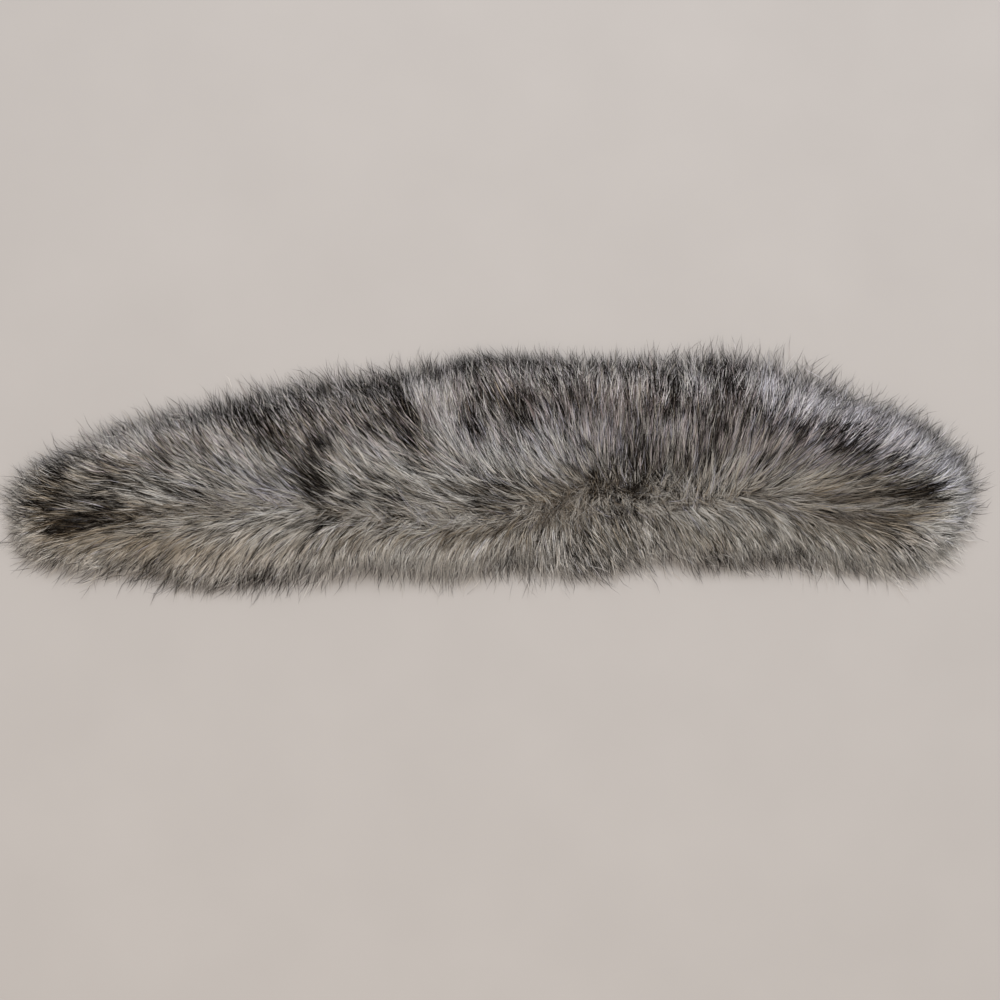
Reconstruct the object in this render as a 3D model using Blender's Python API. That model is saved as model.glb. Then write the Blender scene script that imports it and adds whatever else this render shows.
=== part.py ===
"""Fur collar wrap: a crescent of long-pile fur fabric, laid flat with the fur up.

+X runs along the wrap, +Y to its bulging outer edge, +Z up out of the fur. The origin lies on the flat
underside of the ground cloth, which rests on z = 0. The pile is combed away from a parting that runs along
the middle: above it the locks sweep outward to the outer edge, below it to the inner edge, and at both ends
they fan out over the points. Two pieces: the knitted ground cloth, and the pile that stands on it, hangs
out past its cut edge and droops to just above the surface.
"""

import bmesh
import bpy
import numpy as np

# Driving dimensions, in metres.
MM = 0.001
CLOTH_WALL = 0.002  # knitted ground cloth with the pile's feet in it
SEAM_GAP = 0.0003  # room between the cloth and the pile modelled on it
CUT_EDGE_GAP = 0.00045  # the same round its cut edge, which most locks cross at a slant
OVERHANG = 0.032  # pile that hangs out past the cut edge, along the hair
DROOP_CLEARANCE = 0.0008  # drooping hair ends this far above the surface
TIP_THICKNESS = 0.0018  # a lock at its very tip

LINES_PER_ROW = 8  # lock lines from one row of COMBING to the next
RINGS = 10  # steps from the parting to the edge...
RING_CROWDING = 0.9  # ...a little closer towards the edge
SWEEP_ALONG = 0.66  # a lock leaves the parting mostly along the wrap...
SWEEP_ACROSS = 0.34  # ...and turns to the edge further out
DOME_SPREAD = 2.6  # how far out the pile keeps its height
DOME_ROUND = 0.6  # how round it falls to the edge
PARTING_DIP = 0.13  # the pile is this share lower at the parting
PARTING_WIDTH = 0.13  # of the way to the edge

LOCK_OUT = 0.005  # a lock's tip past the mean edge
NOTCH_IN = 0.006  # the notch between two locks
LOCK_VARY = 0.003  # how unequal neighbouring tips are
CLUMP_VARY = 0.004  # how far whole clumps of locks stand out or back
CLUMP_LINES = 7  # lock lines that a clump takes in
REACH_POWER = 4  # a tip's own reach shows only in the last stretch of its lock
RIDGE = 0.0012  # a lock's back above the mean surface, and its furrow below
TIERS = 3  # layers of locks, one over the next, from the parting to the edge
TIER_STEP = 0.0034  # the drop at a lock's tip onto the layer below
SEED = 11

# One row for each line of locks that is set by hand, from one point of the crescent to the other, in
# millimetres: where it leaves the parting, where its tips reach the outer and the inner edge, and how high
# the pile stands on the cloth. The first and last rows are the two points, where both edges meet.
COMBING_COLUMNS = ("part_x", "part_y", "outer_x", "outer_y", "inner_x", "inner_y", "crown")
COMBING = (
    (-322, -37, -391, -34, -391, -34, 26),
    (-311, -37, -389, -10, -388, -57, 27),
    (-298, -36, -374, 9, -372, -77, 28),
    (-262, -34, -340, 28, -336, -88, 30),
    (-218, -30, -296, 44, -290, -92, 31),
    (-170, -26, -250, 56, -238, -90, 32),
    (-115, -33, -204, 67, -172, -98, 33),
    (-58, -40, -158, 77, -104, -91, 33),
    (0, -36, -112, 83, -50, -88, 34),
    (34, -26, -64, 90, -6, -87, 34),
    (62, -14, -14, 94, 36, -85, 34),
    (84, -11, 38, 96, 80, -86, 34),
    (104, -18, 88, 93, 122, -79, 34),
    (136, -27, 140, 98, 174, -77, 34),
    (164, -21, 190, 100, 222, -81, 34),
    (186, -17, 238, 91, 266, -87, 33),
    (210, -17, 286, 68, 308, -88, 32),
    (236, -20, 334, 46, 344, -77, 31),
    (262, -25, 371, 18, 370, -57, 29),
    (275, -29, 386, -5, 384, -43, 28),
    (284, -31, 389, -26, 389, -26, 27),
)


def material(name, colour, roughness):
    """A Principled material of one colour, given as linear red, green and blue."""
    made = bpy.data.materials.new(name)
    made.use_nodes = True
    shader = made.node_tree.nodes["Principled BSDF"]
    shader.inputs["Base Color"].default_value = (*colour, 1.0)
    shader.inputs["Roughness"].default_value = roughness
    shader.inputs["Metallic"].default_value = 0.0
    return made


def smooth_rows(table, steps):
    """The rows with steps - 1 more between each two, on a Catmull-Rom spline through all of them."""
    rows = np.array(table, float)
    padded = np.vstack([2 * rows[0] - rows[1], rows, 2 * rows[-1] - rows[-2]])
    t = np.arange(steps)[:, None] / steps
    before, here, after, beyond = padded[:-3], padded[1:-2], padded[2:-1], padded[3:]
    curve = 0.5 * (
        2 * here[:, None]
        + (after - before)[:, None] * t
        + (2 * before - 5 * here + 4 * after - beyond)[:, None] * t**2
        + (3 * here - before - 3 * after + beyond)[:, None] * t**3
    )
    return np.vstack([curve.reshape(-1, rows.shape[1]), rows[-1]])


def round_the_wrap(per_line_outer, per_line_inner):
    """One closed loop: out along the outer edge's lines, and back along the inner edge's."""
    return np.concatenate([per_line_outer, per_line_inner[-2:0:-1]])


LINES = dict(zip(COMBING_COLUMNS, smooth_rows(COMBING, LINES_PER_ROW).T, strict=True))
PARTING = np.column_stack([LINES["part_x"], LINES["part_y"]]) * MM
OUTER_EDGE = np.column_stack([LINES["outer_x"], LINES["outer_y"]]) * MM
INNER_EDGE = np.column_stack([LINES["inner_x"], LINES["inner_y"]]) * MM
CROWN = LINES["crown"] * MM

ROOTS = round_the_wrap(PARTING, PARTING)
TIPS = round_the_wrap(OUTER_EDGE, INNER_EDGE)
CROWNS = round_the_wrap(CROWN, CROWN)
TURNS = ROOTS + (TIPS - ROOTS) * (SWEEP_ALONG, SWEEP_ACROSS)
LOCK_LENGTH = np.linalg.norm(TURNS - ROOTS, axis=1) + np.linalg.norm(TIPS - TURNS, axis=1)


def along_locks(share):
    """Where each lock line has got to, a share of the way from the parting to the edge: a curve that
    starts towards its turn and ends coming from it. A share over 1 runs on past the edge."""
    share = np.broadcast_to(share, len(ROOTS))[:, None]
    return (1 - share) ** 2 * ROOTS + 2 * share * (1 - share) * TURNS + share**2 * TIPS


def pile_height(share):
    """The pile's height over the cloth: a dome that falls off at the edge, with a dip at the parting."""
    dome = (1 - share**DOME_SPREAD) ** DOME_ROUND
    return dome * (1 - PARTING_DIP * np.exp(-((share / PARTING_WIDTH) ** 2)))


def mesh_object(name, vertices, faces, finish):
    """A closed mesh as an object, its faces turned to point out and shaded smooth."""
    mesh = bpy.data.meshes.new(name)
    mesh.from_pydata(vertices, [], faces)
    shape = bmesh.new()
    shape.from_mesh(mesh)
    bmesh.ops.recalc_face_normals(shape, faces=shape.faces)
    shape.to_mesh(mesh)
    shape.free()
    mesh.shade_smooth()
    mesh.materials.append(finish)
    wrap.objects.link(bpy.data.objects.new(name, mesh))


def ground_cloth():
    """The knitted cloth, cut as a crescent: a flat outline given its wall."""
    outline = along_locks(1 - OVERHANG / LOCK_LENGTH)
    curve = bpy.data.curves.new("ground_cloth", "CURVE")
    curve.dimensions = "2D"
    curve.fill_mode = "BOTH"
    curve.extrude = CLOTH_WALL / 2
    edge = curve.splines.new("POLY")
    edge.points.add(len(outline) - 1)
    height_and_weight = np.tile((0.0, 1.0), (len(outline), 1))
    edge.points.foreach_set("co", np.column_stack([outline, height_and_weight]).ravel())
    edge.use_cyclic_u = True
    curve.materials.append(material("knitted_ground_cloth", (0.30, 0.27, 0.24), 0.95))
    made = bpy.data.objects.new("ground_cloth", curve)
    made.location.z = CLOTH_WALL / 2
    wrap.objects.link(made)


def fur_pile():
    """The pile, lofted from ring to ring: out from the parting over the locks' backs, round their drooping
    tips, in again under the overhang, up the cloth's cut edge and flat across the cloth."""
    count = len(ROOTS)
    last = len(PARTING) - 1
    number = np.arange(count)
    is_lock = number % 2 == 0
    chance = np.random.default_rng(SEED)
    vary = chance.uniform(-1, 1, count) * LOCK_VARY
    clump = np.convolve(chance.uniform(-1, 1, count + CLUMP_LINES - 1), np.hanning(CLUMP_LINES), "valid")
    reach = np.where(is_lock, LOCK_OUT, -NOTCH_IN) + vary + clump * CLUMP_VARY
    layer_starts = chance.uniform(0, 1, count)
    ridges = np.where(is_lock, RIDGE, -RIDGE)
    cloth_top = CLOTH_WALL + SEAM_GAP

    rings = []
    for step in range(1, RINGS + 1):
        share = (step / RINGS) ** RING_CROWDING
        ends = along_locks(share + reach / LOCK_LENGTH * share**REACH_POWER)
        layer = (share * TIERS + layer_starts) % 1.0
        relief = (ridges + TIER_STEP * (layer - 0.5)) * np.sqrt(np.sin(np.pi * share))
        height = cloth_top + CROWNS * pile_height(share) + relief
        rings.append(np.column_stack([ends, np.maximum(height, DROOP_CLEARANCE + TIP_THICKNESS)]))

    under_tip = along_locks(1 + reach / LOCK_LENGTH)
    rings.append(np.column_stack([under_tip, np.full(count, DROOP_CLEARANCE)]))
    cut_edge = along_locks(1 - (OVERHANG - CUT_EDGE_GAP) / LOCK_LENGTH)
    rings.append(np.column_stack([cut_edge, np.full(count, DROOP_CLEARANCE)]))
    rings.append(np.column_stack([cut_edge, np.full(count, cloth_top)]))

    parting_height = cloth_top + CROWN * pile_height(0.0)
    vertices = np.vstack([np.column_stack([PARTING, parting_height]), *rings])

    line = np.where(number <= last, number, count - number)
    following = (number + 1) % count
    first_ring = last + 1
    faces = np.column_stack([line, first_ring + number, first_ring + following, line[following]]).tolist()
    for ring in range(len(rings) - 1):
        near, far = first_ring + ring * count, first_ring + (ring + 1) * count
        faces += np.column_stack([near + number, far + number, far + following, near + following]).tolist()
    top_of_cut = first_ring + (len(rings) - 1) * count
    for outer in range(last):
        across = [top_of_cut + outer, top_of_cut + outer + 1]
        across += [top_of_cut + (count - outer - 1) % count, top_of_cut + (count - outer) % count]
        faces.append(list(dict.fromkeys(across)))
    mesh_object("fur_pile", vertices.tolist(), faces, material("long_fur_pile", (0.16, 0.15, 0.135), 0.9))


for old in list(bpy.data.objects):
    bpy.data.objects.remove(old, do_unlink=True)
wrap = bpy.data.collections.new("fur_collar_wrap")
bpy.context.scene.collection.children.link(wrap)
ground_cloth()
fur_pile()
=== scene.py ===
import math
from collections import namedtuple
from types import SimpleNamespace

import bpy
import numpy as np
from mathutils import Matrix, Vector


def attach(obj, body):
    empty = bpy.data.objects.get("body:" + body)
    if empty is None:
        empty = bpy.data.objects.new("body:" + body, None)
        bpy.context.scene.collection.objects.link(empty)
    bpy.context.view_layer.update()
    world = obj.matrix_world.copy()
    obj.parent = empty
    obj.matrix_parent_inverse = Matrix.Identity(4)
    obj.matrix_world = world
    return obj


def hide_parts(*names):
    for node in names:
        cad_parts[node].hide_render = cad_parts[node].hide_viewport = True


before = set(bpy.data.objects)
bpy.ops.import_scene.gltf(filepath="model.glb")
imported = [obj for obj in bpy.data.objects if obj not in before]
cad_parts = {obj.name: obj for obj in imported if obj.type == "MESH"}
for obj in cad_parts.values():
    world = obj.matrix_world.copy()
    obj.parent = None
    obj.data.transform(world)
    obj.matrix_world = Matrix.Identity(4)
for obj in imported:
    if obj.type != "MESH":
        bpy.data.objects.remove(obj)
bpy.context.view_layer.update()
scene = bpy.context.scene

# ------------------------------------------------------------------------------
# The studio: a plain pale board that the wrap lies on, a large soft lamp past the outer edge, a weaker warm
# one on the other side and an even sky. None of it is part of the object.

MM = 0.001
MIX_COLOURS = [("data_type", "RGBA")]
MIX_A, MIX_B, MIXED = 6, 7, 2  # a Mix node's colour sockets: two in, one out


def linear(hex_colour):
    """An sRGB hex colour as linear red, green, blue and an alpha of one."""
    parts = [int(hex_colour[i:i + 2], 16) / 255 for i in (1, 3, 5)]
    return (*[c / 12.92 if c <= 0.04045 else ((c + 0.055) / 1.055) ** 2.4 for c in parts], 1.0)


def node(tree, kind, links=(), settings=(), inputs=()):
    """Adds a node: links are (socket to fill, source socket), settings are attributes, inputs are values."""
    made = tree.nodes.new(kind)
    for name, value in settings:
        setattr(made, name, value)
    for name, value in inputs:
        made.inputs[name].default_value = value
    for name, source in links:
        tree.links.new(source, made.inputs[name])
    return made


def new_material(name, roughness, specular):
    """A Principled material with the values that are the same all over; returns it, its tree and shader."""
    made = bpy.data.materials.new(name)
    made.use_nodes = True
    shader = made.node_tree.nodes["Principled BSDF"]
    shader.inputs["Roughness"].default_value = roughness
    shader.inputs["Specular IOR Level"].default_value = specular
    return made, made.node_tree, shader


BOARD_SIDE = 6.0
BOARD_DROP = 0.2 * MM  # the board's face under the cloth's flat underside
CLOUDS_PER_METRE = 9.0  # in the board's mottle

# Matt painted board: an even pale beige with a faint mottle, and no gloss.
board_paint, tree, shader = new_material("matt_painted_board", roughness=0.9, specular=0.2)
place = node(tree, "ShaderNodeTexCoord")
mottle = node(tree, "ShaderNodeTexNoise", [("Vector", place.outputs["Object"])],
              inputs=[("Scale", CLOUDS_PER_METRE), ("Detail", 3.0)])
tint = node(tree, "ShaderNodeMix", [("Factor", mottle.outputs["Fac"])], MIX_COLOURS,
            [(MIX_A, linear("#ada9a5")), (MIX_B, linear("#b5b1ad"))])
tree.links.new(tint.outputs[MIXED], shader.inputs["Base Color"])

corners = np.array([[-1, -1, 0], [1, -1, 0], [1, 1, 0], [-1, 1, 0]]) * BOARD_SIDE / 2 - (0, 0, BOARD_DROP)
board_mesh = bpy.data.meshes.new("board")
board_mesh.from_pydata(corners.tolist(), [], [(0, 1, 2, 3)])
board_mesh.materials.append(board_paint)
board = bpy.data.objects.new("board", board_mesh)
scene.collection.objects.link(board)


def soft_lamp(name, place, size, watts, colour):
    """A square area lamp at place, turned to the origin in the middle of the wrap."""
    data = bpy.data.lights.new(name, "AREA")
    data.size = size
    data.energy = watts
    data.color = linear(colour)[:3]
    lamp = bpy.data.objects.new(name, data)
    lamp.location = place
    lamp.rotation_euler = (-Vector(place)).to_track_quat("-Z", "Y").to_euler()
    scene.collection.objects.link(lamp)


soft_lamp("window", place=(0.3, 1.2, 2.1), size=1.4, watts=43, colour="#f6f7fc")
soft_lamp("room", place=(-0.4, -1.3, 1.9), size=2.0, watts=22, colour="#ffeedd")

sky = bpy.data.worlds.new("sky")
sky.use_nodes = True
background = sky.node_tree.nodes["Background"]
background.inputs["Color"].default_value = linear("#f6f3f1")
background.inputs["Strength"].default_value = 0.56
scene.world = sky
scene.view_settings.view_transform = "Standard"

# The camera looks almost straight down, from the inner edge's side.
LENS_MM = 47.0
SENSOR_MM = 36.0
VIEW_WIDTH = 0.790  # what the frame takes in at the board, from side to side
VIEW_ELEVATION = math.radians(85)
VIEW_CENTRE = (0.0, -19.5 * MM, 0.0)
camera_data = bpy.data.cameras.new("camera")
camera_data.lens = LENS_MM
camera_data.sensor_width = SENSOR_MM
camera = bpy.data.objects.new("camera", camera_data)
distance = VIEW_WIDTH * LENS_MM / SENSOR_MM
camera.location = (
    VIEW_CENTRE[0],
    VIEW_CENTRE[1] - distance * math.cos(VIEW_ELEVATION),
    distance * math.sin(VIEW_ELEVATION),
)
camera.rotation_euler = (math.radians(90) - VIEW_ELEVATION, 0, 0)
scene.collection.objects.link(camera)
scene.camera = camera

# ------------------------------------------------------------------------------
# The ground cloth: a warp-knitted polyester ground, cut as a crescent, that the pile is bound into. The same
# combing lines that the pile follows give its outline, drawn in from the hair's ends by the overhang.

CLOTH_WALL = 2.0 * MM
OVERHANG = 32 * MM  # pile past the cut edge, along the hair
LINES_PER_ROW = 8  # combing lines from one row of COMBING to the next
SWEEP = np.array([0.66, 0.34])  # a lock leaves the parting mostly along the wrap, then turns to the edge

# One row for each line of locks, from point to point of the crescent, in millimetres: where it
# leaves the parting, where it reaches the outer and the inner edge, and the pile's height.
COMBING_COLUMNS = ("part_x", "part_y", "outer_x", "outer_y", "inner_x", "inner_y", "crown")
COMBING = (
    (-322, -37, -391, -34, -391, -34, 26),
    (-311, -37, -389, -10, -388, -57, 27),
    (-298, -36, -374, 9, -372, -77, 28),
    (-262, -34, -340, 28, -336, -88, 30),
    (-218, -30, -296, 44, -290, -92, 31),
    (-170, -26, -250, 56, -238, -90, 32),
    (-115, -33, -204, 67, -172, -98, 33),
    (-58, -40, -158, 77, -104, -91, 33),
    (0, -36, -112, 83, -50, -88, 34),
    (34, -26, -64, 90, -6, -87, 34),
    (62, -14, -14, 94, 36, -85, 34),
    (84, -11, 38, 96, 80, -86, 34),
    (104, -18, 88, 93, 122, -79, 34),
    (136, -27, 140, 98, 174, -77, 34),
    (164, -21, 190, 100, 222, -81, 34),
    (186, -17, 238, 91, 266, -87, 33),
    (210, -17, 286, 68, 308, -88, 32),
    (236, -20, 334, 46, 344, -77, 31),
    (262, -25, 371, 18, 370, -57, 29),
    (275, -29, 386, -5, 384, -43, 28),
    (284, -31, 389, -26, 389, -26, 27),
)


def smooth_rows(table, steps):
    """The rows with steps - 1 more between each two, on a Catmull-Rom spline through all of them."""
    rows = np.array(table, float)
    padded = np.vstack([2 * rows[0] - rows[1], rows, 2 * rows[-1] - rows[-2]])
    t = np.arange(steps)[:, None] / steps
    before, here, after, beyond = padded[:-3], padded[1:-2], padded[2:-1], padded[3:]
    curve = 0.5 * (
        2 * here[:, None]
        + (after - before)[:, None] * t
        + (2 * before - 5 * here + 4 * after - beyond)[:, None] * t**2
        + (3 * here - before - 3 * after + beyond)[:, None] * t**3
    )
    return np.vstack([curve.reshape(-1, rows.shape[1]), rows[-1]])


def by_column(columns, table):
    """The columns of a table that has a row for each row of COMBING, smoothed to a value for each line."""
    return dict(zip(columns, smooth_rows(table, LINES_PER_ROW).T, strict=True))


combing = by_column(COMBING_COLUMNS, COMBING)
far_point = len(combing["crown"]) - 1
loop = np.r_[0:far_point + 1, far_point - 1:0:-1]  # out by the outer edge, back by the inner
is_inner = np.arange(len(loop)) > far_point
LINE_COUNT = len(loop)


def round_the_wrap(columns, what):
    """What the columns say for the outer and for the inner side, as one value for each combing line."""
    return np.where(is_inner, columns["inner_" + what][loop], columns["outer_" + what][loop])


line_roots = np.column_stack([combing["part_x"], combing["part_y"]])[loop] * MM
line_tips = np.column_stack([round_the_wrap(combing, "x"), round_the_wrap(combing, "y")]) * MM
line_turns = line_roots + (line_tips - line_roots) * SWEEP
line_lengths = np.linalg.norm(line_turns - line_roots, axis=1)
line_lengths += np.linalg.norm(line_tips - line_turns, axis=1)


def at_line(values, line):
    """A value kept for each combing line, read between lines; the lines close into a loop."""
    low = np.floor(line).astype(int)
    part = line - low
    if values.ndim > 1:
        part = part[..., None]
    return values[low % LINE_COUNT] * (1 - part) + values[(low + 1) % LINE_COUNT] * part


def combed(line, share):
    """The point a share s of the way out along a combing line, (1-s)^2 root + 2s(1-s) turn + s^2 tip, with
    the unit direction of the hair there. A share over 1 runs on past the edge."""
    root, turn, tip = (at_line(v, line) for v in (line_roots, line_turns, line_tips))
    s = np.asarray(share)[..., None]
    point = (1 - s) ** 2 * root + 2 * s * (1 - s) * turn + s**2 * tip
    way = (1 - s) * (turn - root) + s * (tip - turn)
    return point, way / np.linalg.norm(way, axis=-1, keepdims=True)


def raised(flat, height):
    """Points in space from flat places (..., 2) and their heights."""
    return np.concatenate([flat, np.broadcast_to(height, flat.shape[:-1])[..., None]], -1)


def mesh_of(name, points, faces, corners_uv=None):
    """An object at the origin from arrays: points (n, 3), and faces as a list of index arrays, (m, 4) or
    (m, 3). corners_uv is a list of the same shape with a (u, v) for each corner."""
    mesh = bpy.data.meshes.new(name)
    mesh.vertices.add(len(points))
    mesh.vertices.foreach_set("co", np.ascontiguousarray(points, np.float32).ravel())
    loops = np.concatenate([f.ravel() for f in faces]).astype(np.int32)
    sizes = np.concatenate([np.full(len(f), f.shape[1]) for f in faces])
    mesh.loops.add(len(loops))
    mesh.loops.foreach_set("vertex_index", loops)
    mesh.polygons.add(len(sizes))
    mesh.polygons.foreach_set("loop_start", np.concatenate([[0], np.cumsum(sizes)[:-1]]).astype(np.int32))
    mesh.polygons.foreach_set("use_smooth", np.ones(len(sizes), bool))
    mesh.update(calc_edges=True)
    if corners_uv is not None:
        flat_uv = np.concatenate([c.reshape(-1, 2) for c in corners_uv]).astype(np.float32)
        mesh.uv_layers.new(name="OFBake").data.foreach_set("uv", flat_uv.ravel())
    made = bpy.data.objects.new(name, mesh)
    scene.collection.objects.link(made)
    return made


def closed_skin(name, rings):
    """A closed skin over rings (rings, lines, 3) that have a point for each combing line: quads from ring to
    ring, and the first and last ring filled, each line joined to the one across the parting."""
    count, size, _ = rings.shape
    here = np.arange(size)
    after = (here + 1) % size
    start = np.arange(count - 1)[:, None] * size
    sides = np.stack([start + here, start + after, start + size + after, start + size + here], -1)
    outer = np.arange(1, size // 2 - 1)
    strip = np.column_stack([outer, size - outer, size - outer - 1, outer + 1])
    ends = np.array([[0, size - 1, 1], [size // 2, size // 2 - 1, size // 2 + 1]])
    last = (count - 1) * size
    faces = [sides.reshape(-1, 4), strip, strip[:, ::-1] + last, ends, ends[:, ::-1] + last]
    return mesh_of(name, rings.reshape(-1, 3), faces)


# Knitted polyester ground cloth: matt and warm grey, in loops too fine to see from a step away. The yarn is
# darker where the loops dip, by the same pattern as the bump: painted shade in the knit's hollows.
KNIT_PITCH = 1.1 * MM  # from one loop to the next
STITCH_DEPTH = 0.3 * MM
WAVE_PERIOD = 0.314  # from band to band of a Wave texture at a scale of one
knit, tree, shader = new_material("warp_knitted_polyester", roughness=0.95, specular=0.15)
place = node(tree, "ShaderNodeTexCoord")
across, along = (
    node(tree, "ShaderNodeTexWave", [("Vector", place.outputs["Object"])],
         [("wave_type", "BANDS"), ("wave_profile", "SIN"), ("bands_direction", axis)],
         [("Scale", WAVE_PERIOD / KNIT_PITCH), ("Distortion", 0.6)])
    for axis in "XY"
)
stitch = node(tree, "ShaderNodeMath", [(0, across.outputs["Fac"]), (1, along.outputs["Fac"])],
              [("operation", "MULTIPLY")])
yarn_with_hollow_shade = node(tree, "ShaderNodeMix", [("Factor", stitch.outputs[0])], MIX_COLOURS,
            [(MIX_A, linear("#6f675f")), (MIX_B, linear("#a0978e"))])
tree.links.new(yarn_with_hollow_shade.outputs[MIXED], shader.inputs["Base Color"])
loops_bump = node(tree, "ShaderNodeBump", [("Height", stitch.outputs[0])],
                  inputs=[("Distance", STITCH_DEPTH)])
tree.links.new(loops_bump.outputs["Normal"], shader.inputs["Normal"])

CLOTH_RINGS = 12
CLOTH_START = 0.02  # the first ring, as a share of the way from the parting to the cut edge
EDGE_ROUND = 0.5 * MM  # the cloth is this much thinner at its cut edge
cut, _ = combed(np.arange(LINE_COUNT), 1 - OVERHANG / line_lengths)
outward = np.arange(CLOTH_RINGS + 1)[:, None] / CLOTH_RINGS
flat = line_roots + (cut - line_roots) * (CLOTH_START + (1 - CLOTH_START) * outward)[..., None]
upper = raised(flat, np.where(outward < 1, CLOTH_WALL, CLOTH_WALL - EDGE_ROUND))
lower = raised(flat[::-1], 0.0)
cloth = closed_skin("ground_cloth_knit", np.concatenate([upper, lower]))
cloth.data.materials.append(knit)
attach(cloth, "root")
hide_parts("ground_cloth")

# ------------------------------------------------------------------------------
# The undercoat: the dense short fibres low in the pile, matted into one mass that the long hair stands
# out of. It is a dome over the cloth, drawn in from the hair's tips, with furrows between its tufts.

# How far inside the outline the hair thins out into wisps, in millimetres, at each row of COMBING.
OUTER_THIN = (10, 10, 9, 13, 8, 10, 11, 11, 13, 10, 0, 5, 2, 7, 10, 14, 12, 9, 15, 24, 30)
INNER_THIN = (10, 14, 18, 20, 24, 1, 21, 21, 10, 13, 8, 6, 11, 5, 16, 24, 18, 12, 20, 27, 30)
thins = by_column(("outer_thin", "inner_thin"), list(zip(OUTER_THIN, INNER_THIN, strict=True)))
line_thin = round_the_wrap(thins, "thin")
line_crowns = combing["crown"][loop] * MM

SEAM_GAP = 0.3 * MM  # room between the cloth and the undercoat on it...
CUT_EDGE_GAP = 0.45 * MM  # ...and round the cloth's cut edge
CLEARANCE = 0.9 * MM  # between hanging hair and the surface below
DOME_SPREAD = 2.6  # how far out the pile keeps its height
PARTING_DIP = 0.13  # the pile is this share lower at the parting
PARTING_WIDTH = 0.13  # of the way to the edge
UNDERCOAT_DEPTH = 0.66  # of the pile's height
UNDERCOAT_INSET = 11 * MM  # from where the hair thins out, along the hair
UNDERCOAT_EDGE = 1.5 * MM  # its thickness at the edge
UNDERCOAT_RINGS = 14
UNDERCOAT_START = 0.03  # the first ring, as a share of the way out
TUFT_RELIEF = 1.6 * MM
TUFTS_OUTWARD = 9  # from the parting to the edge
TUFT_SEED = 3


def hump(value, middle, half_width):
    """A smooth hump of height one: exp(-((value - middle) / half_width)^2)."""
    return np.exp(-(((value - middle) / half_width) ** 2))


def pile_height(line, share):
    """The pile's height over the cloth: crown * (1 - s^2.6), with a shallow dip at the parting."""
    s = np.clip(share, 0, 1)
    return at_line(line_crowns, line) * (1 - s**DOME_SPREAD) * (1 - PARTING_DIP * hump(s, 0, PARTING_WIDTH))


lines = np.arange(LINE_COUNT)
step = np.arange(UNDERCOAT_RINGS + 1)[:, None]
share = UNDERCOAT_START + (1 - UNDERCOAT_START) * step / UNDERCOAT_RINGS
reach = 1 - (UNDERCOAT_INSET + line_thin * MM) / line_lengths
flat, _ = combed(lines, reach * share)
tuft_start = np.random.default_rng(TUFT_SEED).uniform(0, 1, LINE_COUNT)
tuft = (share * TUFTS_OUTWARD + tuft_start) % 1.0 - 0.5
ridge = np.where(lines % 2 == 0, 0.5, -0.5)
relief = TUFT_RELIEF * (ridge + tuft) * np.sqrt(np.sin(np.pi * step / UNDERCOAT_RINGS))
rise = pile_height(lines, share) * UNDERCOAT_DEPTH + relief
upper = raised(flat, np.maximum(CLOTH_WALL + SEAM_GAP + rise, CLEARANCE + UNDERCOAT_EDGE))
recess, _ = combed(lines, 1 - (OVERHANG - CUT_EDGE_GAP) / line_lengths)
lower = [raised(flat[-1], CLEARANCE), raised(recess, CLEARANCE), raised(recess, CLOTH_WALL + SEAM_GAP)]
undercoat = closed_skin("undercoat", np.concatenate([upper, lower]))

# Crimped modacrylic underfur: matt, darker and browner than the hair over it, partly its own colour and
# partly painted shade under the hair. It is darker still where its fluff dips, by the same noise as the bump:
# painted shade in its hollows.
FLUFF_SIZE = 2.2 * MM
FLUFF_DEPTH = 1.0 * MM
underfur, tree, shader = new_material("crimped_modacrylic_underfur", roughness=0.9, specular=0.1)
place = node(tree, "ShaderNodeTexCoord")
fluff = node(tree, "ShaderNodeTexNoise", [("Vector", place.outputs["Object"])],
             inputs=[("Scale", 1 / FLUFF_SIZE), ("Detail", 3.0)])
shade = node(tree, "ShaderNodeMix", [("Factor", fluff.outputs["Fac"])], MIX_COLOURS,
             [(MIX_A, linear("#3a342f")), (MIX_B, linear("#877e76"))])
tree.links.new(shade.outputs[MIXED], shader.inputs["Base Color"])
fluff_bump = node(tree, "ShaderNodeBump", [("Height", fluff.outputs["Fac"])],
                  inputs=[("Distance", FLUFF_DEPTH)])
tree.links.new(fluff_bump.outputs["Normal"], shader.inputs["Normal"])
undercoat.data.materials.append(underfur)
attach(undercoat, "root")
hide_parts("fur_pile")

# ------------------------------------------------------------------------------
# The long pile: modacrylic hair, about 45 mm long, in tapering locks that lie over each other like tiles
# and end in dark tips. Only the length that shows is built: each hair starts in the undercoat.

# Modacrylic pile fibre: smooth and slightly glossy, spun in several greys, some with the tips printed dark.
# Its colour is read from the hair's own map: u runs from root to tip, and v picks the fibre's kind, a hue
# with an ending, and within the kind's band its tone.
HUES = (  # tan, neutral, cool and mauve grey, each from its darkest tone to its palest
    ("#3a2b1c", "#82735d", "#b7ab98", "#d4cdc2", "#eae6df"),
    ("#2e251b", "#7a7063", "#b0aaa0", "#d0cdc6", "#eae9e5"),
    ("#2b2423", "#706b6e", "#aaa7ae", "#cccad3", "#e7e6ed"),
    ("#30241f", "#7b6d69", "#b2a6a4", "#d2c9ca", "#e9e5e6"),
)
TAN, NEUTRAL, COOL, MAUVE = range(len(HUES))
ENDINGS = 3  # plain, with a dark tip, or dark for most of the hair's length
KINDS = len(HUES) * ENDINGS
DARK_FROM, DARK_EARLIER = 0.84, 0.32  # dark from 0.52 of the way to the tip, or from 0.2 where mostly dark
DARK_FADE = 0.3  # from pale to dark, along the hair
MATHS = "ShaderNodeMath"

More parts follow.
